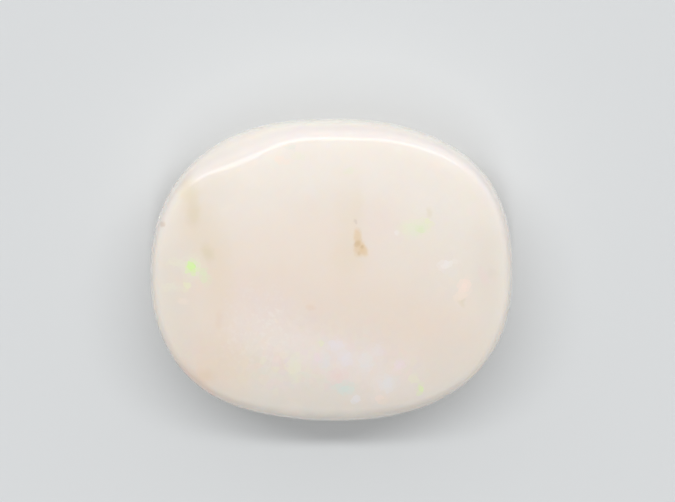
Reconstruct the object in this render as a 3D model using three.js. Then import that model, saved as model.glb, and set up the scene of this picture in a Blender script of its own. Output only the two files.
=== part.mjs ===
// A loose white opal, cut by hand as a cushion-oval cabochon. It is one stone: a low domed face,
// a tight polished shoulder, steep sides and a flat back that it rests on.
// Millimetres, +Z up. The origin is the middle of the flat back, +X runs along the length.
import * as THREE from "three";
import { ParametricGeometry } from "three/addons/geometries/ParametricGeometry.js";

// Driving sizes, in millimetres
const LENGTH = 12.0;
const WIDTH = 10.0;
const THICKNESS = 4.0;
const GIRDLE_HEIGHT = 1.5; // the widest level, above the flat back
const DOME_RISE = 0.5; // how far the middle of the face stands above its rim

// The outline, seen from above
const OUTLINE_POWER = 2.35; // 2 is an ellipse, and a higher power is squarer
// Where the cutter's hand left the outline full or flat: degrees from +X, spread in degrees, millimetres
const OUTLINE_DEPARTURES = [
  { at: 34, spread: 9, by: 0.05 },
  { at: 152, spread: 15, by: -0.07 },
  { at: 223, spread: 10, by: 0.04 },
  { at: 248, spread: 9, by: -0.03 },
];

// The shoulder, where the face rolls over into the side. Its width is a share of the way in.
const SHOULDER_AT_ENDS = 0.0155;
const SHOULDER_AT_SIDES = 0.038;
const SOFT_CORNER = { at: 125, spread: 10.5, by: 0.05 }; // a corner polished flatter than the rest
const SHOULDER_RIPPLES = [
  { waves: 5, phase: 1.0, share: 0.04 },
  { waves: 9, phase: 0.0, share: 0.02 },
];

// The back
const FLAT_SHARE = 0.8; // the flat back's size, as a share of the outline
const BACK_ROLL_POWER = 1.7; // 1 is a plain bevel, and 2 is a quarter ellipse

// How finely the surface is divided
const SLICES = 120;
const FACE_RINGS = 9;
const SHOULDER_RINGS = 18;
const BACK_RINGS = 8;
const FLAT_RINGS = 1;
const RINGS = FACE_RINGS + SHOULDER_RINGS + BACK_RINGS + FLAT_RINGS;
const SHOULDER_START = THREE.MathUtils.degToRad(10); // where the face's rings hand over to the shoulder's

const SIDE_HEIGHT = THICKNESS - GIRDLE_HEIGHT - DOME_RISE;

// A soft bump of the given height, centred at an angle and fading over its spread.
function bumpAt(angle, { at, spread, by }) {
  const turn = THREE.MathUtils.euclideanModulo(THREE.MathUtils.radToDeg(angle) - at + 180, 360) - 180;
  return by * Math.exp(-0.5 * (turn / spread) ** 2);
}

// Distance from the middle to the outline, in the direction of the angle.
function outlineRadius(angle) {
  const across = Math.abs(Math.cos(angle) / (LENGTH / 2)) ** OUTLINE_POWER;
  const along = Math.abs(Math.sin(angle) / (WIDTH / 2)) ** OUTLINE_POWER;
  const even = (across + along) ** (-1 / OUTLINE_POWER);
  return OUTLINE_DEPARTURES.reduce((radius, departure) => radius + bumpAt(angle, departure), even);
}

// Width of the rounded shoulder at an angle: narrow at the ends, wider at the long sides.
function shoulderWidth(angle) {
  const sides = SHOULDER_AT_ENDS + (SHOULDER_AT_SIDES - SHOULDER_AT_ENDS) * Math.sin(angle) ** 4;
  const ripple = SHOULDER_RIPPLES.reduce(
    (sum, { waves, phase, share }) => sum + share * Math.sin(waves * angle + phase),
    1,
  );
  return (sides + bumpAt(angle, SOFT_CORNER)) * ripple;
}

// Share of the way out to the outline at which the shoulder has turned by this much.
function shareAtTurn(turn, angle) {
  return Math.sin(turn) ** (2 * shoulderWidth(angle));
}

// Height of the crown at a share of the way out, in the direction of the angle.
function crownHeight(share, angle) {
  const side = Math.sqrt(Math.max(0, 1 - share ** (1 / shoulderWidth(angle))));
  return GIRDLE_HEIGHT + SIDE_HEIGHT * side + DOME_RISE * (1 - share ** 2);
}

// Height of the underside where it rolls from the flat back, at 0, to the girdle, at 1.
function backHeight(roll) {
  return GIRDLE_HEIGHT * (1 - (1 - roll ** BACK_ROLL_POWER) ** (1 / BACK_ROLL_POWER));
}

// Share and height of one ring at an angle, counted from the top of the dome to the middle of the back.
function ringAt(ring, angle) {
  if (ring <= FACE_RINGS) {
    const share = (ring / FACE_RINGS) * shareAtTurn(SHOULDER_START, angle);
    return { share, height: crownHeight(share, angle) };
  }
  ring -= FACE_RINGS;
  if (ring <= SHOULDER_RINGS) {
    const turn = THREE.MathUtils.lerp(SHOULDER_START, Math.PI / 2, ring / SHOULDER_RINGS);
    const share = shareAtTurn(turn, angle);
    return { share, height: crownHeight(share, angle) };
  }
  ring -= SHOULDER_RINGS;
  if (ring <= BACK_RINGS) {
    const roll = Math.cos((ring / BACK_RINGS) * (Math.PI / 2));
    return { share: THREE.MathUtils.lerp(FLAT_SHARE, 1, roll), height: backHeight(roll) };
  }
  ring -= BACK_RINGS;
  return { share: FLAT_SHARE * (1 - ring / FLAT_RINGS), height: 0 };
}

// The whole polished skin of the stone, centred over its flat back.
function stoneGeometry() {
  const skin = (around, down, point) => {
    const angle = -around * 2 * Math.PI; // clockwise from above, which turns the faces outwards
    const { share, height } = ringAt(Math.round(down * RINGS), angle);
    const radius = share * outlineRadius(angle);
    point.set(radius * Math.cos(angle), radius * Math.sin(angle), height);
  };
  const geometry = new ParametricGeometry(skin, SLICES, RINGS);
  geometry.computeBoundingBox();
  const middle = geometry.boundingBox.getCenter(new THREE.Vector3());
  geometry.translate(-middle.x, -middle.y, -geometry.boundingBox.min.z);
  return geometry;
}

const milkyOpal = new THREE.MeshStandardMaterial({ color: 0xe9dbce, roughness: 0.12, metalness: 0 });

const opal = new THREE.Mesh(stoneGeometry(), milkyOpal);
opal.name = "opal";

const stone = new THREE.Group();
stone.add(opal);

export default stone;
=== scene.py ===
"""A loose white opal, laid on its flat back on a pale table and seen from above.

The stone is one piece: a hand-cut cushion-oval cabochon with a low dome, a tight polished
shoulder, steep sides and a flat ground back. Its colours are soft patches in the stone, each with
a place and a size in millimetres: milk, rust stains, one brown inclusion and small flashes of fire.
Bands of painted light and shade lie down its far shoulder, on the side the light comes from.
"""

import logging
import math
from dataclasses import dataclass, field
from enum import Enum

import bmesh
import bpy
from bpy.types import Material, NodeSocket, Object, ShaderNode, World
from mathutils import Matrix, Vector


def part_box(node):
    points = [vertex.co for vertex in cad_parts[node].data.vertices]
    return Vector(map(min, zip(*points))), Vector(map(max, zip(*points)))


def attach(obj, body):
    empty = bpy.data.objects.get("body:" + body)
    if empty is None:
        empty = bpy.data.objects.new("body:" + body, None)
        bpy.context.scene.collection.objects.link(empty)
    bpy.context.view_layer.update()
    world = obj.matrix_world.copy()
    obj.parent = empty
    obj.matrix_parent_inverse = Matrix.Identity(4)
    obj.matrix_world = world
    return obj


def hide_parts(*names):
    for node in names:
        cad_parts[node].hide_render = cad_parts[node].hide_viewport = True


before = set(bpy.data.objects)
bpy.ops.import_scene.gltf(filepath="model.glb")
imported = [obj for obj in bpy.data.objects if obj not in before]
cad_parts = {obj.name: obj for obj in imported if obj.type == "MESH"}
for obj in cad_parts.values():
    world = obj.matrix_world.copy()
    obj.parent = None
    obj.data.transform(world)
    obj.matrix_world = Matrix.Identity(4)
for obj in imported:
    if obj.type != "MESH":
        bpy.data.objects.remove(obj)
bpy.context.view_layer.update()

LOG = logging.getLogger("opal")
MM = 0.001  # metres in a millimetre

Colour = tuple[float, float, float, float]
Triple = tuple[float, float, float]
Range = tuple[float, float]


def seen(code: int) -> Colour:
    """Turns a colour as the eye sees it into linear light.

    Args:
        code: Red, green and blue as 0xRRGGBB.

    Returns:
        Linear red, green and blue, and an alpha of 1.
    """
    parts = [((code >> shift) & 0xFF) / 255 for shift in (16, 8, 0)]
    red, green, blue = [p / 12.92 if p <= 0.04045 else ((p + 0.055) / 1.055) ** 2.4 for p in parts]
    return red, green, blue, 1.0


class Tint(Enum):
    """The milk, stains, fire and painted light and shade of the stone, 0xRRGGBB as the eye sees them."""

    MILK = 0xEAE4DB
    WHITE_MILK = 0xF1EBE5
    CREAM = 0xEADDD1
    GREY_MILK = 0xE3DCD3
    LILAC_MILK = 0xEADED9
    # Painted shade for the far shoulder, and painted light for the far side below it.
    PAINTED_SHOULDER_SHADE = 0xE6DEDB
    PAINTED_RIM_LIGHT = 0xFBF1E6
    HONEY = 0xE6DAC6
    OLIVE = 0xDFD4BC
    RUST = 0xE4CEBD
    BROWN = 0xE3CBA8
    DARK_BROWN = 0xCDB58C
    DUST = 0xD9CCC1
    GREEN = 0xDAF2AE
    LEAF_GREEN = 0xE2E8CA
    PALE_GREEN = 0xE9E8D6
    YELLOW_GREEN = 0xE9E9CF
    TEAL = 0xDCE2DB
    BLUE = 0xE7E4E3
    WHITE_BLUE = 0xEFEAE5
    VIOLET = 0xEAE4E5
    MAUVE = 0xEEE0E1
    PINK = 0xEBD9D6
    SALMON = 0xF4E4DA
    PEACH = 0xF0E4D8
    GROUND = 0xE4DACE

    @property
    def colour(self) -> Colour:
        """The tint in linear light."""
        return seen(self.value)


@dataclass(frozen=True)
class Wander:
    """How an edge or a pattern wanders from its even form.

    Attributes:
        per_mm: Lumps of the wandering to the millimetre.
        reach: How far it goes, in millimetres.
    """

    per_mm: float
    reach: float


class Kind(Enum):
    """The kinds of mark in the stone: softness of the edge, depth in millimetres, and its wandering.

    A cloud drifts, a veil is grainy, a stain is ragged, a fleck is small and crisp, and fire
    keeps to the cells of silica that flash in one colour.
    """

    CLOUD = (0.9, 2.0, Wander(0.7, 0.7))
    VEIL = (0.85, 1.5, Wander(5.0, 0.5))
    STAIN = (0.75, 0.5, Wander(4.0, 0.09))
    FLECK = (0.45, 0.35, Wander(9.0, 0.05))
    FIRE = (0.75, 0.3, None)

    @property
    def softness(self) -> float:
        """Width of the edge, as a share of the mark's size."""
        return self.value[0]

    @property
    def depth(self) -> float:
        """How deep the mark goes into the stone, in millimetres."""
        return self.value[1]

    @property
    def wander(self) -> Wander | None:
        """How the mark's edge wanders, or None where it keeps to the cells."""
        return self.value[2]


@dataclass(frozen=True)
class Departure:
    """A place where the cutter's hand left a curve full or flat.

    Attributes:
        at: Where it is, in degrees from +X.
        spread: How far it spreads, in degrees.
        by: How much it adds, in the curve's own unit.
    """

    at: float
    spread: float
    by: float

    def bump(self, angle: float) -> float:
        """Height of this soft bump at an angle in radians."""
        turn = (math.degrees(angle) - self.at + 180) % 360 - 180
        return self.by * math.exp(-0.5 * (turn / self.spread) ** 2)


@dataclass(frozen=True)
class Ripple:
    """A gentle wave in the shoulder's width, once round the stone.

    Attributes:
        waves: How many waves go round.
        phase: Where they start, in radians.
        share: How strong they are, as a share of the width.
    """

    waves: int
    phase: float
    share: float

    def wave(self, angle: float) -> float:
        """Height of the wave at an angle in radians."""
        return self.share * math.sin(self.waves * angle + self.phase)


@dataclass(frozen=True)
class Cut:
    """The shape that the stone was cut to, in millimetres, with its flat back at height 0.

    Attributes:
        length: Length of the even outline, along X.
        width: Width of the even outline, along Y.
        thickness: Height of the top of the dome.
        girdle_height: Height of the widest level.
        dome_rise: How much the face rises from its rim to its middle.
        outline_power: How square the even outline is: 2 is an ellipse.
        outline_departures: Where the outline is fuller or flatter than that.
        shoulder_at_ends: Width of the shoulder at the two ends, as a share of the way in.
        shoulder_at_sides: Width of the shoulder at the two long sides.
        soft_corner: The corner where the shoulder is polished wider and flatter.
        shoulder_ripples: Gentle waves in the shoulder's width.
        flat_share: How far out the flat back reaches, as a share of the outline.
        back_roll_power: How full the roll from the back to the side is.
    """

    length: float = 12.0
    width: float = 10.0
    thickness: float = 4.0
    girdle_height: float = 1.5
    dome_rise: float = 0.5
    outline_power: float = 2.35
    outline_departures: tuple[Departure, ...] = (
        Departure(34, 9, 0.05),
        Departure(152, 15, -0.07),
        Departure(223, 10, 0.04),
        Departure(248, 9, -0.03),
    )
    shoulder_at_ends: float = 0.0155
    shoulder_at_sides: float = 0.038
    soft_corner: Departure = Departure(125, 10.5, 0.05)
    shoulder_ripples: tuple[Ripple, ...] = (Ripple(5, 1.0, 0.04), Ripple(9, 0.0, 0.02))
    flat_share: float = 0.8
    back_roll_power: float = 1.7

    @property
    def side_height(self) -> float:
        """Height from the widest level to the rim of the face."""
        return self.thickness - self.girdle_height - self.dome_rise

    def outline_radius(self, angle: float) -> float:
        """Distance from the middle to the outline, in the direction of the angle."""
        across = abs(math.cos(angle) / (self.length / 2)) ** self.outline_power
        along = abs(math.sin(angle) / (self.width / 2)) ** self.outline_power
        even = (across + along) ** (-1 / self.outline_power)
        return even + sum(departure.bump(angle) for departure in self.outline_departures)

    def shoulder_width(self, angle: float) -> float:
        """Width of the rounded shoulder at an angle, as a share of the way in."""
        gain = self.shoulder_at_sides - self.shoulder_at_ends
        sides = self.shoulder_at_ends + gain * math.sin(angle) ** 4
        ripple = 1 + sum(ripple.wave(angle) for ripple in self.shoulder_ripples)
        return (sides + self.soft_corner.bump(angle)) * ripple

    def share_at_turn(self, turn: float, angle: float) -> float:
        """Share of the way out at which the shoulder has turned by this much, in radians."""
        return math.sin(turn) ** (2 * self.shoulder_width(angle))

    def crown_height(self, share: float, angle: float) -> float:
        """Height of the face and side at a share of the way out to the outline."""
        side = math.sqrt(max(0.0, 1 - share ** (1 / self.shoulder_width(angle))))
        return self.girdle_height + self.side_height * side + self.dome_rise * (1 - share**2)

    def back_height(self, roll: float) -> float:
        """Height of the underside where it rolls from the flat back, at 0, to the girdle, at 1."""
        power = self.back_roll_power
        return self.girdle_height * (1 - (1 - roll**power) ** (1 / power))

    def on_face(self, x: float, y: float) -> Triple:
        """The point of the polished face above x and y."""
        angle = math.atan2(y, x)
        share = math.hypot(x, y) / self.outline_radius(angle)
        return x, y, self.crown_height(share, angle)

    def on_side(self, degrees: float, height: float) -> Triple:
        """The point of the steep side in a direction from +X, at a height above the table."""
        angle = math.radians(degrees)
        radius = self.outline_radius(angle)
        return radius * math.cos(angle), radius * math.sin(angle), height


@dataclass(frozen=True)
class Mark:
    """A patch of another colour in the stone, an ellipsoid with an edge of its kind.

    Attributes:
        kind: Its kind.
        tint: Its colour.
        at: Its middle, in millimetres.
        size: Its half sizes, in millimetres: along, across and deep.
        turn: How far it is turned on the face, in whole degrees.
        strength: How much of the tint shows, from 0 to 1.
    """

    kind: Kind
    tint: Tint
    at: Triple
    size: Triple
    turn: int = 0
    strength: float = 1.0


class Bench:
    """Sets out shader nodes and joins them, so that a finish reads as a list of steps."""

    def __init__(self, owner: Material | World) -> None:
        """Starts with no nodes.

        Args:
            owner: The new material or world that the nodes are for.
        """
        self.owner = owner
        self.owner.use_nodes = True
        self.tree = self.owner.node_tree
        self.tree.nodes.clear()

    def add(self, kind: str, settings: dict | None = None, **inputs: object) -> ShaderNode:
        """Adds a node.

        Args:
            kind: The node's type.
            settings: Its properties.
            inputs: Its sockets by name, with _ for a space: a value, or a socket to join.

        Returns:
            The node.
        """
        node = self.tree.nodes.new(kind)
        for key, value in (settings or {}).items():
            setattr(node, key, value)
        for key, value in inputs.items():
            self.feed(node.inputs[key.replace("_", " ")], value)
        return node

    def feed(self, socket: NodeSocket, value: object) -> None:
        """Joins a socket to another one, or sets its value."""
        if isinstance(value, NodeSocket):
            self.tree.links.new(value, socket)
        else:
            socket.default_value = value

    def maths(self, operation: str, *numbers: object) -> NodeSocket:
        """One sum on numbers."""
        node = self.add("ShaderNodeMath", {"operation": operation})
        for socket, number in zip(node.inputs, numbers):
            self.feed(socket, number)
        return node.outputs[0]

    def vectors(self, operation: str, *vectors: object) -> ShaderNode:
        """One sum on vectors."""
        node = self.add("ShaderNodeVectorMath", {"operation": operation})
        for socket, vector in zip(node.inputs, vectors):
            self.feed(socket, vector)
        return node

    def turned(self, place: NodeSocket, degrees: float) -> NodeSocket:
        """Places turned about the upright axis."""
        mapping = self.add("ShaderNodeMapping", {"vector_type": "POINT"}, Vector=place)
        mapping.inputs["Rotation"].default_value = (0.0, 0.0, math.radians(degrees))
        return mapping.outputs["Vector"]

    def remap(self, value: NodeSocket, source: Range, target: Range) -> NodeSocket:
        """Carries a value smoothly from one range to another.

        Args:
            value: The value.
            source: The range it comes in.
            target: The range it goes to, held at its ends.

        Returns:
            The carried value.
        """
        node = self.add("ShaderNodeMapRange", {"interpolation_type": "SMOOTHSTEP"}, Value=value)
        for name, number in zip(("From Min", "From Max", "To Min", "To Max"), (*source, *target)):
            node.inputs[name].default_value = number
        return node.outputs["Result"]

    def blend(self, amount: object, first: object, second: object) -> NodeSocket:
        """Mixes two colours: all of the first at 0, all of the second at 1."""
        node = self.add("ShaderNodeMix", {"data_type": "RGBA", "clamp_factor": True})
        self.feed(node.inputs["Factor"], amount)
        self.feed(node.inputs[6], first)
        self.feed(node.inputs[7], second)
        return node.outputs[2]

    def noise(
        self, place: NodeSocket, per_mm: float, detail: float = 2.0, rough: float = 0.5, out: str = "Fac"
    ) -> NodeSocket:
        """Adds a noise.

        Args:
            place: The places, in millimetres.
            per_mm: Lumps of the noise to the millimetre.
            detail: How many finer layers it has.
            rough: How strong those are.
            out: Fac for its height, from 0 to 1, or Color for three of them.

        Returns:
            The height or the three heights.
        """
        kind = "ShaderNodeTexNoise"
        return self.add(kind, None, Vector=place, Scale=per_mm, Detail=detail, Roughness=rough).outputs[out]

    def warp(self, place: NodeSocket, wander: Wander) -> NodeSocket:
        """Pushes places about by a noise.

        Args:
            place: The places, in millimetres.
            wander: How finely and how far it pushes them.

        Returns:
            The places moved.
        """
        noise = self.noise(place, wander.per_mm, out="Color")
        centred = self.vectors("SUBTRACT", noise, (0.5, 0.5, 0.5))
        push = self.vectors("SCALE", centred.outputs[0])
        push.inputs["Scale"].default_value = 2 * wander.reach
        return self.vectors("ADD", place, push.outputs[0]).outputs[0]

    def finish(self, surface: NodeSocket) -> Material | World:
        """Joins the surface to the output and returns the material or world."""
        kind = "ShaderNodeOutputWorld" if isinstance(self.owner, World) else "ShaderNodeOutputMaterial"
        self.add(kind, None, Surface=surface)
        return self.owner


def face_marks(cut: Cut) -> list[Mark]:
    """The clouds, stains and flashes that show in the face, in the order they are laid.

    Args:
        cut: The stone's shape, which says how high the face is.

    Returns:
        The marks.
    """

    def on_face(kind: Kind, tint: Tint, x: float, y: float, along: float, across: float,
                turn: int = 0, strength: float = 1.0) -> Mark:
        """One mark that shows in the face at x and y, with its half sizes along and across."""
        return Mark(kind, tint, cut.on_face(x, y), (along, across, kind.depth), turn, strength)

    return [
        # Broad clouds in the milk
        on_face(Kind.CLOUD, Tint.CREAM, -1.00, -0.10, 4.30, 2.20, 0, 0.9),
        on_face(Kind.CLOUD, Tint.CREAM, 3.00, -1.90, 2.40, 1.10, -20, 0.8),
        on_face(Kind.CLOUD, Tint.CREAM, -3.60, -1.30, 0.90, 2.40, 0, 0.7),
        # This grey cloud makes the face greyer along its near edge, towards -Y.
        on_face(Kind.CLOUD, Tint.GREY_MILK, 0.30, -4.20, 4.80, 0.80, 0, 0.9),
        on_face(Kind.CLOUD, Tint.GREY_MILK, -5.40, -0.30, 0.80, 2.90, 0, 0.8),
        on_face(Kind.CLOUD, Tint.GREY_MILK, 5.40, 0.10, 0.70, 2.60, 0, 0.6),
        # These two white clouds are partly the milk's own colour and partly painted light: they make the
        # upper face, towards +Y where the light comes from, lighter.
        on_face(Kind.CLOUD, Tint.WHITE_MILK, 0.30, 2.60, 5.00, 2.00, 0, 0.5),
        on_face(Kind.CLOUD, Tint.WHITE_MILK, 0.20, 3.70, 2.60, 0.60, 0, 0.3),
        on_face(Kind.CLOUD, Tint.CREAM, 0.00, 1.70, 1.90, 1.00, 0, 0.5),
        on_face(Kind.CLOUD, Tint.GREY_MILK, -3.60, 3.70, 1.60, 0.70, 45, 0.4),
        on_face(Kind.CLOUD, Tint.WHITE_MILK, 0.20, -4.95, 3.50, 0.40, 0, 0.5),
        on_face(Kind.CLOUD, Tint.RUST, -4.20, -3.10, 1.30, 0.80, -45, 0.3),
        on_face(Kind.CLOUD, Tint.GREY_MILK, 4.00, -3.20, 1.50, 0.90, 45, 0.6),
        # Grainy veils
        on_face(Kind.VEIL, Tint.LILAC_MILK, -2.20, -1.30, 1.30, 0.90, -20, 0.6),
        on_face(Kind.VEIL, Tint.WHITE_MILK, -0.60, -2.50, 2.40, 0.60, -20, 0.35),
        on_face(Kind.VEIL, Tint.LILAC_MILK, 0.90, -2.90, 1.70, 0.80, -20, 0.5),
        on_face(Kind.VEIL, Tint.LILAC_MILK, 1.60, 1.70, 0.50, 0.60, 0, 0.4),
        # Honey, olive and rust stains
        on_face(Kind.STAIN, Tint.HONEY, -4.30, 1.50, 0.60, 1.30, 20, 0.4),
        on_face(Kind.STAIN, Tint.HONEY, -3.65, -0.40, 0.40, 1.30, 0, 0.3),
        on_face(Kind.STAIN, Tint.HONEY, -3.20, -3.00, 0.90, 0.50, -20, 0.25),
        on_face(Kind.STAIN, Tint.HONEY, 0.55, 0.60, 0.50, 0.60, 0, 0.4),
        on_face(Kind.STAIN, Tint.HONEY, 0.60, 2.10, 0.40, 0.90, 0, 0.25),
        on_face(Kind.STAIN, Tint.HONEY, 0.85, 2.50, 0.18, 0.80, 0, 0.15),
        on_face(Kind.STAIN, Tint.OLIVE, -4.75, 2.80, 0.30, 0.45, 20, 0.5),
        on_face(Kind.STAIN, Tint.OLIVE, -4.52, 1.98, 0.20, 0.38, 0, 0.5),
        on_face(Kind.STAIN, Tint.OLIVE, -4.06, 0.72, 0.17, 0.26, 20, 0.6),
        on_face(Kind.STAIN, Tint.RUST, -3.68, -1.53, 0.12, 0.30, 0, 0.25),
        on_face(Kind.STAIN, Tint.BROWN, -4.17, -3.34, 0.30, 0.20, 0, 0.3),
        on_face(Kind.STAIN, Tint.RUST, -4.44, -3.56, 0.90, 0.18, -45, 0.5),
        on_face(Kind.STAIN, Tint.DUST, 5.26, 0.00, 0.17, 0.15, 0, 0.15),
        on_face(Kind.STAIN, Tint.PINK, 4.98, -0.05, 0.12, 0.30, 20, 0.4),
        on_face(Kind.STAIN, Tint.OLIVE, 4.27, -0.90, 0.10, 0.16, 20, 0.5),
        on_face(Kind.STAIN, Tint.OLIVE, 3.20, 2.02, 0.09, 0.15, 0, 0.35),
        on_face(Kind.STAIN, Tint.RUST, -0.68, -1.08, 0.14, 0.09, 0, 0.35),
        # The brown inclusion
        on_face(Kind.FLECK, Tint.BROWN, 0.86, 1.24, 0.13, 0.26, 0, 0.6),
        on_face(Kind.FLECK, Tint.BROWN, 0.90, 0.86, 0.17, 0.25, 0, 0.55),
        on_face(Kind.FLECK, Tint.BROWN, 1.05, 0.83, 0.12, 0.22, 20, 0.6),
        on_face(Kind.FLECK, Tint.DARK_BROWN, 0.84, 1.02, 0.09, 0.10, 0, 0.4),
        on_face(Kind.FLECK, Tint.DARK_BROWN, 1.01, 0.92, 0.05, 0.06, 0, 0.4),
        on_face(Kind.FLECK, Tint.DARK_BROWN, 0.90, 0.70, 0.06, 0.07, 0, 0.25),
        on_face(Kind.FLECK, Tint.DUST, 0.79, 1.74, 0.05, 0.08, 20, 0.6),
        # Small flecks
        on_face(Kind.FLECK, Tint.DUST, -5.55, 1.62, 0.09, 0.09, 0, 1.0),
        on_face(Kind.FLECK, Tint.WHITE_MILK, 2.14, 1.38, 0.08, 0.08, 0, 0.6),
        on_face(Kind.FLECK, Tint.WHITE_MILK, -1.98, -1.30, 0.13, 0.06, -45, 0.35),
        on_face(Kind.FLECK, Tint.WHITE_MILK, -1.77, -1.18, 0.05, 0.11, 45, 0.35),
        on_face(Kind.FLECK, Tint.WHITE_MILK, -2.06, -1.62, 0.09, 0.05, 0, 0.35),
        on_face(Kind.FLECK, Tint.PEACH, -1.80, -1.52, 0.10, 0.05, -45, 0.7),
        on_face(Kind.FLECK, Tint.PEACH, -4.86, -0.90, 0.18, 0.10, 0, 0.45),
        on_face(Kind.FLECK, Tint.PEACH, 0.22, 3.35, 0.22, 0.20, 0, 0.3),
        # Fire near the left end
        on_face(Kind.FIRE, Tint.PALE_GREEN, -4.54, 0.24, 0.30, 0.32, 0, 0.8),
        on_face(Kind.FIRE, Tint.GREEN, -4.58, 0.22, 0.15, 0.19, 0, 1.0),
        on_face(Kind.FIRE, Tint.LEAF_GREEN, -4.17, -0.04, 0.12, 0.24, 20, 0.8),
        on_face(Kind.FIRE, Tint.YELLOW_GREEN, -4.75, -0.40, 0.10, 0.14, 0, 1.0),
        on_face(Kind.FIRE, Tint.PALE_GREEN, -5.20, -0.44, 0.36, 0.11, 0, 0.4),
        on_face(Kind.FIRE, Tint.PALE_GREEN, -5.10, 0.36, 0.26, 0.11, 0, 0.5),
        # Fire towards the right end
        on_face(Kind.FIRE, Tint.PALE_GREEN, 2.73, 1.52, 0.44, 0.24, 0, 1.0),
        on_face(Kind.FIRE, Tint.LEAF_GREEN, 2.92, 1.48, 0.16, 0.13, 20, 0.8),
        on_face(Kind.FIRE, Tint.YELLOW_GREEN, 3.20, 1.72, 0.18, 0.08, -20, 0.8),
        on_face(Kind.FIRE, Tint.WHITE_BLUE, 3.74, 0.30, 0.22, 0.14, 20, 1.0),
        on_face(Kind.FIRE, Tint.WHITE_MILK, 4.00, 0.40, 0.20, 0.06, 20, 0.4),
        on_face(Kind.FIRE, Tint.BLUE, 3.95, 0.02, 0.24, 0.16, 0, 0.3),
        on_face(Kind.FIRE, Tint.SALMON, 4.34, -0.42, 0.18, 0.26, -20, 1.0),
        on_face(Kind.FIRE, Tint.PEACH, 4.22, -0.70, 0.12, 0.24, -20, 1.0),
        # Faint fire near the far rim
        on_face(Kind.FIRE, Tint.SALMON, -1.57, 3.72, 0.26, 0.10, -20, 0.5),
        on_face(Kind.FIRE, Tint.PALE_GREEN, -1.06, 3.90, 0.17, 0.10, 0, 0.5),
        on_face(Kind.FIRE, Tint.TEAL, -1.33, 4.18, 0.18, 0.09, -45, 0.5),
        on_face(Kind.FIRE, Tint.PALE_GREEN, 0.58, 3.40, 0.16, 0.10, 20, 0.6),
        # Many-coloured fire low on the face
        on_face(Kind.FIRE, Tint.PALE_GREEN, -1.20, -3.00, 0.20, 0.50, 0, 0.5),
        on_face(Kind.FIRE, Tint.VIOLET, 0.15, -2.32, 0.24, 0.17, 0, 0.9),
        on_face(Kind.FIRE, Tint.YELLOW_GREEN, -0.31, -2.28, 0.10, 0.09, 0, 0.8),
        on_face(Kind.FIRE, Tint.VIOLET, 0.45, -2.75, 0.22, 0.24, 0, 1.0),
        on_face(Kind.FIRE, Tint.MAUVE, -0.47, -2.75, 0.18, 0.17, 0, 0.7),
        on_face(Kind.FIRE, Tint.BLUE, -0.18, -2.86, 0.16, 0.24, 0, 0.8),
        on_face(Kind.FIRE, Tint.WHITE_BLUE, 1.11, -2.84, 0.26, 0.30, 0, 0.4),
        on_face(Kind.FIRE, Tint.BLUE, 1.11, -2.84, 0.20, 0.26, 0, 0.6),
        on_face(Kind.FIRE, Tint.VIOLET, 1.50, -2.50, 0.22, 0.22, 20, 0.5),
        on_face(Kind.FIRE, Tint.PINK, 0.20, -3.34, 0.28, 0.20, 0, 0.7),
        on_face(Kind.FIRE, Tint.TEAL, 0.45, -3.76, 0.28, 0.18, 0, 1.0),
        on_face(Kind.FIRE, Tint.BLUE, 0.80, -4.12, 0.16, 0.16, 0, 0.9),
        on_face(Kind.FIRE, Tint.WHITE_MILK, 1.68, -3.62, 0.30, 0.36, -20, 0.25),
        on_face(Kind.FIRE, Tint.BLUE, 1.82, -3.60, 0.20, 0.24, -20, 0.9),
        on_face(Kind.FIRE, Tint.SALMON, 1.58, -4.10, 0.18, 0.11, 0, 0.5),
        on_face(Kind.FIRE, Tint.MAUVE, 2.21, -3.02, 0.16, 0.15, 0, 0.9),
        on_face(Kind.FIRE, Tint.YELLOW_GREEN, 2.70, -3.48, 0.15, 0.13, 0, 0.5),
        on_face(Kind.FIRE, Tint.GREEN, 2.92, -3.78, 0.09, 0.17, 0, 0.5),
    ]


def side_marks(cut: Cut) -> list[Mark]:
    """The few marks that show in the steep sides and the back.

    Args:
        cut: The stone's shape, which says where its sides are.

    Returns:
        The marks.
    """
    return [
        Mark(Kind.STAIN, Tint.HONEY, cut.on_side(158, 1.6), (0.5, 0.7, 0.5), 0, 0.6),
        Mark(Kind.STAIN, Tint.RUST, cut.on_side(222, 2.1), (1.0, 0.5, 0.4), 45, 0.5),
        Mark(Kind.FIRE, Tint.LEAF_GREEN, cut.on_side(196, 2.2), (0.2, 0.2, 0.16), 0, 0.8),
        Mark(Kind.FIRE, Tint.BLUE, cut.on_side(284, 1.8), (0.3, 0.2, 0.24), 0, 0.8),
        Mark(Kind.FIRE, Tint.VIOLET, cut.on_side(277, 1.3), (0.2, 0.2, 0.2), 0, 0.7),
        Mark(Kind.FIRE, Tint.PALE_GREEN, cut.on_side(20, 2.0), (0.2, 0.35, 0.2), 0, 0.8),
        Mark(Kind.FIRE, Tint.SALMON, cut.on_side(350, 1.5), (0.2, 0.3, 0.16), 0, 0.6),
        Mark(Kind.FIRE, Tint.TEAL, cut.on_side(75, 1.9), (0.35, 0.2, 0.16), 0, 0.8),
        Mark(Kind.FIRE, Tint.YELLOW_GREEN, cut.on_side(100, 1.1), (0.25, 0.2, 0.14), 0, 0.7),
        Mark(Kind.STAIN, Tint.HONEY, (-2.4, 1.3, 0.0), (0.9, 0.5, 0.4), 20, 0.7),
        Mark(Kind.STAIN, Tint.RUST, (1.9, -1.1, 0.0), (0.5, 0.3, 0.3), -20, 0.4),
        Mark(Kind.FIRE, Tint.BLUE, (0.8, 2.1, 0.0), (0.5, 0.3, 0.3), 20, 0.5),
        Mark(Kind.FIRE, Tint.PALE_GREEN, (-0.9, -2.2, 0.0), (0.5, 0.3, 0.3), -20, 0.5),
    ]


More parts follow.
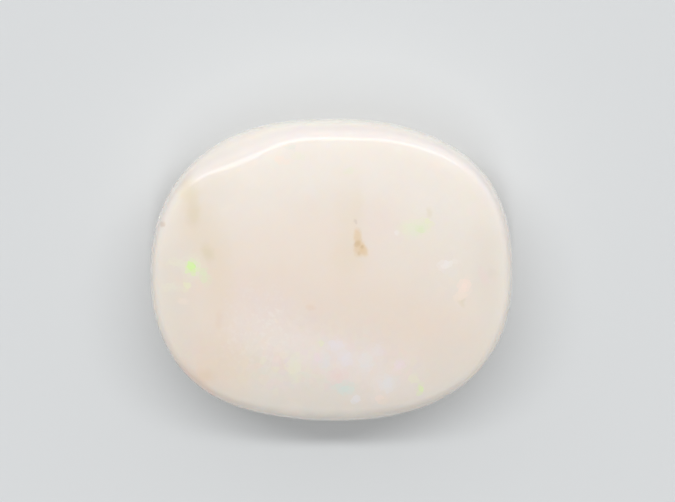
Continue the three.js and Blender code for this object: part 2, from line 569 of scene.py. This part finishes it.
@dataclass(frozen=True)
class Drift:
    """One milk that drifts through another.

    Attributes:
        tint: The milk that drifts.
        per_mm: Its lumps to the millimetre.
        detail: How many finer layers its lumps have.
        rough: How strong those are.
        between: Heights of the noise between which it sets in.
        strength: How much of it shows at most.
        wander: How its lumps are pulled about, if they are.
    """

    tint: Tint
    per_mm: float
    detail: float
    rough: float
    between: Range
    strength: float
    wander: Wander | None = None


@dataclass(frozen=True)
class Shimmer:
    """A layer of faint fire, in which each cell of the silica leans to a colour of its own.

    Attributes:
        per_mm: How many cells lie along a millimetre.
        away: How strong it is over most of the stone.
        within: How strong it is in its place low on the face.
    """

    per_mm: float
    away: float
    within: float


@dataclass(frozen=True)
class MilkyOpal:
    """The finish of the stone: milky opal with a glassy polish, and a back left as ground.

    Heights and places are in millimetres, from the middle of the back.

    Attributes:
        polish: Roughness of the polished skin.
        wax: How much the polish wavers to each side of that.
        wax_per_mm: How many lumps of that wavering lie along a millimetre.
        satin: Roughness of the satin side.
        ground: Roughness of the ground back.
        glow: How far light goes in the milk, in millimetres, for red, green and blue.
        index: Index of refraction of precious opal.
        ground_below: Heights between which the side takes the colour and marks of the ground back.
        matt_below: Heights between which the satin side turns matt at the edge of the ground back.
        polished_above: Heights between which the satin side turns into full polish.
        ground_cover: How much of the ground back's own colour shows there.
        drifts: The milks that drift through the body, in the order they are laid.
        painted_light_and_shade_bands: Painted shade and painted light that lie over one another down the
            far shoulder, a darker band where it catches the light and a whiter one below it, each
            with the heights between which it sets in.
        painted_bands_beyond: Places along +Y between which that painted light and shade sets in.
        cells_per_mm: How many cells of bright fire lie along a millimetre.
        cell_blur: Softness of the borders between cells.
        cell_wander: How those borders wander.
        shimmers: The layers of faint fire.
        shimmer_zone: Where on the face the faint fire is strongest.
        shimmer_milk: How much milk is mixed into the colour of each faint cell.
        grains_per_mm: How many of the smallest pale grains lie along a millimetre.
        grain_zone: Where on the face those grains lie.
        grain_between: Heights of the noise between which a grain sets in.
        grain_wander: How the grains are pulled about.
        grinding_turn: Direction of the grinding marks, in degrees.
        grinding_per_mm: How many of those marks lie along a millimetre, along, across and up.
        grinding_strength: How strongly they show on the back.
        ripple_per_mm: How many lumps of the ripple in the polish lie along a millimetre.
        ripple_strength: How strongly it shows.
        relief: Height of the grinding marks and of the ripple.
    """

    polish: float = 0.08
    wax: Range = (-0.02, 0.03)
    wax_per_mm: float = 3.0
    satin: float = 0.23
    ground: float = 0.42
    glow: Triple = (0.9, 0.75, 0.6)
    index: float = 1.45
    ground_below: Range = (0.6, 0.05)
    matt_below: Range = (0.12, 0.02)
    polished_above: Range = (1.1, 2.4)
    ground_cover: float = 0.55
    drifts: tuple[Drift, ...] = (
        Drift(Tint.CREAM, 0.35, 3.0, 0.5, (0.35, 0.7), 0.3),
        Drift(Tint.WHITE_MILK, 1.6, 4.0, 0.6, (0.45, 0.75), 0.25, Wander(0.8, 0.5)),
    )
    # Painted light and shade: a darker band tones down the light the far shoulder catches, and a whiter
    # band stands in for light on the far side below it.
    painted_light_and_shade_bands: tuple[tuple[Tint, Range], ...] = (
        (Tint.PAINTED_SHOULDER_SHADE, (3.62, 3.5)),
        (Tint.PAINTED_RIM_LIGHT, (3.3, 2.8)),
    )
    painted_bands_beyond: Range = (-2.5, 3.4)
    cells_per_mm: float = 7.0
    cell_blur: float = 0.3
    cell_wander: Wander = Wander(9.0, 0.03)
    shimmers: tuple[Shimmer, ...] = (Shimmer(1.9, 0.03, 0.05), Shimmer(4.6, 0.02, 0.14))
    shimmer_zone: Mark = Mark(Kind.CLOUD, Tint.MILK, (-0.3, -2.5, 3.6), (4.2, 1.8, 3.0))
    shimmer_milk: float = 0.55
    grains_per_mm: float = 6.5
    grain_zone: Mark = Mark(Kind.CLOUD, Tint.WHITE_MILK, (-2.3, -1.9, 3.7), (1.1, 1.3, 2.0), 0, 0.3)
    grain_between: Range = (0.5, 0.7)
    grain_wander: Wander = Wander(12.0, 0.05)
    grinding_turn: float = 25.0
    grinding_per_mm: Triple = (1.5, 22.0, 1.5)
    grinding_strength: float = 0.5
    ripple_per_mm: float = 1.1
    ripple_strength: float = 0.2
    relief: float = 0.02

    def make(self, marks: list[Mark]) -> Material:
        """Builds the material.

        Args:
            marks: The patches of other colours in the stone.

        Returns:
            The material.
        """
        bench = Bench(bpy.data.materials.new("milky_opal"))
        place = self.millimetres(bench)
        height = bench.add("ShaderNodeSeparateXYZ", None, Vector=place).outputs["Z"]
        ground = bench.remap(height, self.ground_below, (0.0, 1.0))
        body = self.faint_fire(bench, place, self.body(bench, place))
        body = self.grains(bench, place, self.paint(bench, place, body, marks))
        cover = bench.maths("MULTIPLY", ground, self.ground_cover)
        body = bench.blend(cover, body, Tint.GROUND.colour)
        smoothest, roughest = [self.polish + waver for waver in self.wax]
        waxy = bench.remap(bench.noise(place, self.wax_per_mm), (0.3, 0.7), (smoothest, roughest))
        satin = bench.remap(height, self.polished_above, (self.satin - self.polish, 0.0))
        matt = bench.remap(height, self.matt_below, (0.0, self.ground - self.satin))
        skin = bench.add(
            "ShaderNodeBsdfPrincipled",
            {"subsurface_method": "RANDOM_WALK"},
            Base_Color=body,
            Roughness=bench.maths("ADD", waxy, bench.maths("ADD", satin, matt)),
            IOR=self.index,
            Subsurface_Weight=1.0,
            Subsurface_Radius=self.glow,
            Subsurface_Scale=MM,
            Normal=self.scratches(bench, place, ground),
        )
        return bench.finish(skin.outputs["BSDF"])

    def millimetres(self, bench: Bench) -> NodeSocket:
        """Places on the stone, in millimetres from the middle of its back."""
        origin = bench.add("ShaderNodeTexCoord").outputs["Object"]
        mapping = bench.add("ShaderNodeMapping", {"vector_type": "POINT"}, Vector=origin)
        mapping.inputs["Scale"].default_value = (1 / MM,) * 3
        return mapping.outputs["Vector"]

    def body(self, bench: Bench, place: NodeSocket) -> NodeSocket:
        """Colour of the milk itself, with its drifts and the painted light and shade down its far side."""
        body = Tint.MILK.colour
        for drift in self.drifts:
            pulled = bench.warp(place, drift.wander) if drift.wander else place
            lumps = bench.noise(pulled, drift.per_mm, drift.detail, drift.rough)
            amount = bench.remap(lumps, drift.between, (0.0, drift.strength))
            body = bench.blend(amount, body, drift.tint.colour)
        spot = bench.add("ShaderNodeSeparateXYZ", None, Vector=place)
        # Painted light and shade, growing towards +Y: a darker band at the far shoulder, a whiter one down
        # the side below it.
        beyond = bench.remap(spot.outputs["Y"], self.painted_bands_beyond, (0.0, 1.0))
        for tint, heights in self.painted_light_and_shade_bands:
            low = bench.remap(spot.outputs["Z"], heights, (0.0, 1.0))
            body = bench.blend(bench.maths("MULTIPLY", low, beyond), body, tint.colour)
        return body

    def grains(self, bench: Bench, place: NodeSocket, body: NodeSocket) -> NodeSocket:
        """Scatters the smallest pale grains over the veil low on the left of the face."""
        near = self.patch(bench, place, self.grain_zone)
        fine = bench.noise(bench.warp(place, self.grain_wander), self.grains_per_mm, 1.0)
        grain = bench.remap(fine, self.grain_between, (0.0, 1.0))
        return bench.blend(bench.maths("MULTIPLY", near, grain), body, self.grain_zone.tint.colour)

    def faint_fire(self, bench: Bench, place: NodeSocket, body: NodeSocket) -> NodeSocket:
        """Tints each cell of the silica with a breath of its own colour, most of all low on the face."""
        near = self.patch(bench, place, self.shimmer_zone)
        for shimmer in self.shimmers:
            cell = self.cells(bench, place, shimmer.per_mm)
            own = bench.blend(self.shimmer_milk, cell.outputs["Color"], Tint.WHITE_MILK.colour)
            reach = bench.remap(near, (0.0, 1.0), (shimmer.away, shimmer.within))
            body = bench.blend(reach, body, own)
        return body

    def cells(self, bench: Bench, place: NodeSocket, per_mm: float) -> ShaderNode:
        """The cells of the silica, so many to the millimetre, with soft borders."""
        return bench.add(
            "ShaderNodeTexVoronoi",
            {"feature": "SMOOTH_F1"},
            Vector=bench.warp(place, self.cell_wander),
            Scale=per_mm,
            Smoothness=self.cell_blur,
        )

    def paint(self, bench: Bench, place: NodeSocket, body: NodeSocket, marks: list[Mark]) -> NodeSocket:
        """Lays the marks over the milk.

        Args:
            bench: Where the nodes are set out.
            place: Places on the stone, in millimetres.
            body: Colour of the milk.
            marks: The marks, in the order they are laid.

        Returns:
            The colour with the marks in it.
        """
        places = {(kind, 0): bench.warp(place, kind.wander) for kind in Kind if kind.wander}
        places[(Kind.FIRE, 0)] = self.cells(bench, place, self.cells_per_mm).outputs["Position"]
        for mark in marks:
            lie = (mark.kind, mark.turn)
            if lie not in places:
                places[lie] = bench.turned(places[(mark.kind, 0)], -mark.turn)
            body = bench.blend(self.patch(bench, places[lie], mark), body, mark.tint.colour)
        return body

    def patch(self, bench: Bench, place: NodeSocket, mark: Mark) -> NodeSocket:
        """How much of one mark shows at each place, from 0 to its strength.

        Args:
            bench: Where the nodes are set out.
            place: Places on the stone, in millimetres, turned to lie along the mark.
            mark: The mark.

        Returns:
            The amount.
        """
        middle = Matrix.Rotation(math.radians(-mark.turn), 3, "Z") @ Vector(mark.at)
        scale = tuple(1 / half for half in mark.size)
        shift = tuple(-part / half for part, half in zip(middle, mark.size))
        away = bench.vectors("MULTIPLY_ADD", place, scale, shift).outputs[0]
        softness = mark.kind.softness
        distance = bench.vectors("LENGTH", away).outputs["Value"]
        return bench.remap(distance, (1 - softness, 1 + softness), (mark.strength, 0.0))

    def scratches(self, bench: Bench, place: NodeSocket, ground: NodeSocket) -> NodeSocket:
        """The surface's fine relief: a soft ripple all over, and grinding marks where it is ground."""
        stretched = bench.add("ShaderNodeMapping", {"vector_type": "POINT"}, Vector=place)
        stretched.inputs["Rotation"].default_value = (0.0, 0.0, math.radians(self.grinding_turn))
        stretched.inputs["Scale"].default_value = self.grinding_per_mm
        lines = bench.noise(stretched.outputs["Vector"], 1.0, 3.0, 0.7)
        strength = bench.maths("MULTIPLY", ground, self.grinding_strength)
        relief = self.relief * MM
        marks = bench.add("ShaderNodeBump", None, Height=lines, Distance=relief, Strength=strength)
        ripple = bench.noise(place, self.ripple_per_mm, 1.0)
        soft = bench.add(
            "ShaderNodeBump", None, Height=ripple, Distance=relief, Strength=self.ripple_strength
        )
        bench.feed(soft.inputs["Normal"], marks.outputs["Normal"])
        return soft.outputs["Normal"]


@dataclass
class Stone:
    """The opal itself, one polished piece.

    Attributes:
        cut: Its shape.
        finish: Its finish.
        slices: How many strips go round it.
        face_rings: Rings on the domed face.
        shoulder_rings: Rings on the shoulder and side.
        back_rings: Rings on the roll from the side to the back.
        flat_rings: Rings on the flat back.
        shoulder_start: How far the shoulder has turned where the face's rings end, in degrees.
    """

    cut: Cut = field(default_factory=Cut)
    finish: MilkyOpal = field(default_factory=MilkyOpal)
    slices: int = 480
    face_rings: int = 40
    shoulder_rings: int = 54
    back_rings: int = 22
    flat_rings: int = 8
    shoulder_start: float = 8.0

    def build(self) -> Object:
        """Builds and dresses the stone.

        Returns:
            The finished piece, riding on the root body in place of the CAD solid.
        """
        rings = self.face_rings + self.shoulder_rings + self.back_rings + self.flat_rings
        mesh = bmesh.new()
        bmesh.ops.create_uvsphere(mesh, u_segments=self.slices, v_segments=rings, radius=1.0)
        for vertex in mesh.verts:
            ring = math.acos(max(-1.0, min(1.0, vertex.co.z))) / math.pi * rings
            vertex.co = self.skin(ring, math.atan2(vertex.co.y, vertex.co.x))
        self.centre(mesh)
        bmesh.ops.scale(mesh, vec=(MM, MM, MM), verts=mesh.verts)
        bmesh.ops.recalc_face_normals(mesh, faces=mesh.faces)
        for face in mesh.faces:
            face.smooth = True
        data = bpy.data.meshes.new("polished_opal")
        mesh.to_mesh(data)
        mesh.free()
        piece = bpy.data.objects.new("polished_opal", data)
        bpy.context.scene.collection.objects.link(piece)
        self.dress(piece)
        return piece

    def skin(self, ring: float, angle: float) -> Vector:
        """One point of the skin.

        Args:
            ring: How far down it is, in rings from the top of the dome.
            angle: Its direction from +X, in radians.

        Returns:
            The point, in millimetres.
        """
        share, height = self.ring_at(ring, angle)
        radius = share * self.cut.outline_radius(angle)
        return Vector((radius * math.cos(angle), radius * math.sin(angle), height))

    def ring_at(self, ring: float, angle: float) -> tuple[float, float]:
        """Share of the way out and height of a ring, counted down from the top of the dome."""
        start = math.radians(self.shoulder_start)
        if ring <= self.face_rings:
            share = ring / self.face_rings * self.cut.share_at_turn(start, angle)
            return share, self.cut.crown_height(share, angle)
        ring -= self.face_rings
        if ring <= self.shoulder_rings:
            turn = start + (math.pi / 2 - start) * ring / self.shoulder_rings
            share = self.cut.share_at_turn(turn, angle)
            return share, self.cut.crown_height(share, angle)
        ring -= self.shoulder_rings
        flat = self.cut.flat_share
        if ring <= self.back_rings:
            roll = max(0.0, math.cos(ring / self.back_rings * math.pi / 2))
            return flat + (1 - flat) * roll, self.cut.back_height(roll)
        return flat * (1 - (ring - self.back_rings) / self.flat_rings), 0.0

    def centre(self, mesh: bmesh.types.BMesh) -> None:
        """Centres the skin over its flat back, as the CAD solid is."""
        low = Vector([min(vertex.co[axis] for vertex in mesh.verts) for axis in range(3)])
        high = Vector([max(vertex.co[axis] for vertex in mesh.verts) for axis in range(3)])
        middle = (low + high) / 2
        bmesh.ops.translate(mesh, vec=(-middle.x, -middle.y, -low.z), verts=mesh.verts)

    def dress(self, piece: Object) -> None:
        """Gives the piece its finish and its place in the frame."""
        marks = face_marks(self.cut) + side_marks(self.cut)
        piece.data.materials.append(self.finish.make(marks))
        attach(piece, "root")
        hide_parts("opal")


@dataclass(frozen=True)
class PaleTable:
    """The plain pale light table that the stone lies on.

    Attributes:
        side: Length of its sides, in metres.
        colour: Its colour as seen, 0xRRGGBB.
        roughness: Its roughness.
        light: How brightly it is lit from below.
        below: How far it lies below the stone, in millimetres, so that no two faces meet.
    """

    side: float = 1.6
    colour: int = 0xD0D2D3
    roughness: float = 0.6
    light: float = 0.07
    below: float = 0.02

    def build(self) -> Object:
        """Builds the surface as part of the stage and returns it."""
        mesh = bmesh.new()
        bmesh.ops.create_grid(mesh, x_segments=1, y_segments=1, size=self.side / 2)
        bmesh.ops.translate(mesh, vec=(0.0, 0.0, -self.below * MM), verts=mesh.verts)
        data = bpy.data.meshes.new("pale_table")
        mesh.to_mesh(data)
        mesh.free()
        table = bpy.data.objects.new("pale_table", data)
        bpy.context.scene.collection.objects.link(table)
        bench = Bench(bpy.data.materials.new("pale_table"))
        skin = bench.add(
            "ShaderNodeBsdfPrincipled",
            None,
            Base_Color=seen(self.colour),
            Roughness=self.roughness,
            Emission_Color=seen(self.colour),
            Emission_Strength=self.light,
        )
        data.materials.append(bench.finish(skin.outputs["BSDF"]))
        return table


class Use(Enum):
    """What a light is for: to light the milk and the table, or to draw a glint in the polish."""

    WASH = "wash"
    GLINT = "glint"


@dataclass(frozen=True)
class Softbox:
    """A soft studio light, aimed at the stone.

    Attributes:
        name: Its name.
        bearing: Its direction from +X, in degrees.
        lean: How far it stands from straight above, in degrees.
        distance: Its distance, in metres.
        length: Its level side, in metres.
        depth: Its other side, in metres.
        power: Its power, in watts.
        use: What it is for.
    """

    name: str
    bearing: float
    lean: float
    distance: float
    length: float
    depth: float
    power: float
    use: Use

    def build(self, aim: Vector) -> Object:
        """Makes the light.

        Args:
            aim: The point that it faces.

        Returns:
            The light.
        """
        lamp = bpy.data.lights.new(self.name, "AREA")
        lamp.shape = "RECTANGLE"
        lamp.size, lamp.size_y = self.length, self.depth
        lamp.energy = self.power
        light = bpy.data.objects.new(self.name, lamp)
        bearing, lean = math.radians(self.bearing), math.radians(self.lean)
        level = math.sin(lean)
        away = Vector((math.cos(bearing) * level, math.sin(bearing) * level, math.cos(lean)))
        light.location = aim + away * self.distance
        light.rotation_mode = "QUATERNION"
        light.rotation_quaternion = away.to_track_quat("Z", "Y")
        light.visible_glossy = self.use is Use.GLINT
        light.visible_diffuse = self.use is Use.WASH
        bpy.context.scene.collection.objects.link(light)
        return light


@dataclass(frozen=True)
class Studio:
    """The light around the stone: softboxes, and pale walls that are brighter beyond it and low down.

    Attributes:
        walls: Colour of the walls, 0xRRGGBB.
        wall_light: How bright the walls are overhead.
        wall_slope: How much brighter they are towards +Y, and darker towards -Y.
        wall_foot: How much brighter they are at their foot than overhead.
        foot_below: How high that brighter foot reaches, as a share of straight up.
        softboxes: The light that draws the bright line in the stone's shoulder, the two that
            light its face, and a card that draws a faint line in its near shoulder.
    """

    walls: int = 0xF4F5F6
    wall_light: float = 0.437
    wall_slope: float = 0.374
    wall_foot: float = 0.7
    foot_below: float = 0.5
    softboxes: tuple[Softbox, ...] = (
        Softbox("long_softbox", 91.5, 50, 0.6, 0.835, 0.17, 1.5, Use.GLINT),
        Softbox("high_softbox", 90, 20, 0.6, 0.85, 0.06, 2.15, Use.WASH),
        Softbox("near_softbox", 270, 20, 0.6, 0.08, 0.3, 0.6, Use.WASH),
        Softbox("near_card", 270, 58, 0.6, 0.6, 0.25, 0.3, Use.GLINT),
    )

    def build(self, aim: Vector) -> None:
        """Sets up the light.

        Args:
            aim: The middle of the stone.
        """
        scene = bpy.context.scene
        scene.view_settings.view_transform = "Standard"
        bench = Bench(bpy.data.worlds.new("pale_walls"))
        direction = bench.add("ShaderNodeTexCoord").outputs["Generated"]
        towards = bench.add("ShaderNodeSeparateXYZ", None, Vector=direction)
        foot = bench.remap(towards.outputs["Z"], (0.0, self.foot_below), (self.wall_foot, 0.0))
        sloped = bench.maths("MULTIPLY_ADD", towards.outputs["Y"], self.wall_slope, self.wall_light)
        light = bench.maths("ADD", sloped, foot)
        walls = bench.add("ShaderNodeBackground", None, Color=seen(self.walls), Strength=light)
        scene.world = bench.finish(walls.outputs["Background"])
        for softbox in self.softboxes:
            softbox.build(aim)


@dataclass(frozen=True)
class OverheadCamera:
    """A camera that looks down on the face of the stone, as the photograph does.

    Attributes:
        lens: Focal length, in millimetres.
        sensor: Width of the sensor, in millimetres.
        view_width: Width of the view at the stone, in millimetres.
        lean: How far it stands from straight above, towards +Y, in degrees.
        aim: The point in the middle of the view, in millimetres from the middle of the back.
        clip: Nearest and furthest distance that it sees, in metres.
    """

    lens: float = 300.0
    sensor: float = 36.0
    view_width: float = 22.39
    lean: float = 4.0
    aim: Triple = (0.2, 0.61, 1.5)
    clip: Range = (0.01, 10.0)

    def build(self) -> Object:
        """Makes the scene's camera and returns it."""
        data = bpy.data.cameras.new("overhead_camera")
        data.lens, data.sensor_width = self.lens, self.sensor
        data.clip_start, data.clip_end = self.clip
        camera = bpy.data.objects.new("overhead_camera", data)
        lean = math.radians(self.lean)
        away = Vector((0.0, math.sin(lean), math.cos(lean)))
        distance = self.view_width * MM * self.lens / self.sensor
        camera.location = Vector(self.aim) * MM + away * distance
        camera.rotation_mode = "QUATERNION"
        right = Vector((1.0, 0.0, 0.0))
        camera.rotation_quaternion = Matrix((right, away.cross(right), away)).transposed().to_quaternion()
        bpy.context.scene.collection.objects.link(camera)
        bpy.context.scene.camera = camera
        return camera


def main() -> None:
    """Builds the stone, the table, the light and the camera."""
    logging.basicConfig(level=logging.INFO, format="%(name)s: %(message)s")
    camera = OverheadCamera().build()
    LOG.info("camera %s", camera.name)
    stone = Stone().build()
    LOG.info("%s: %d faces", stone.name, len(stone.data.polygons))
    table = PaleTable().build()
    LOG.info("stage %s", table.name)
    low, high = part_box("opal")
    Studio().build((low + high) / 2)


if __name__ == "__main__":
    main()
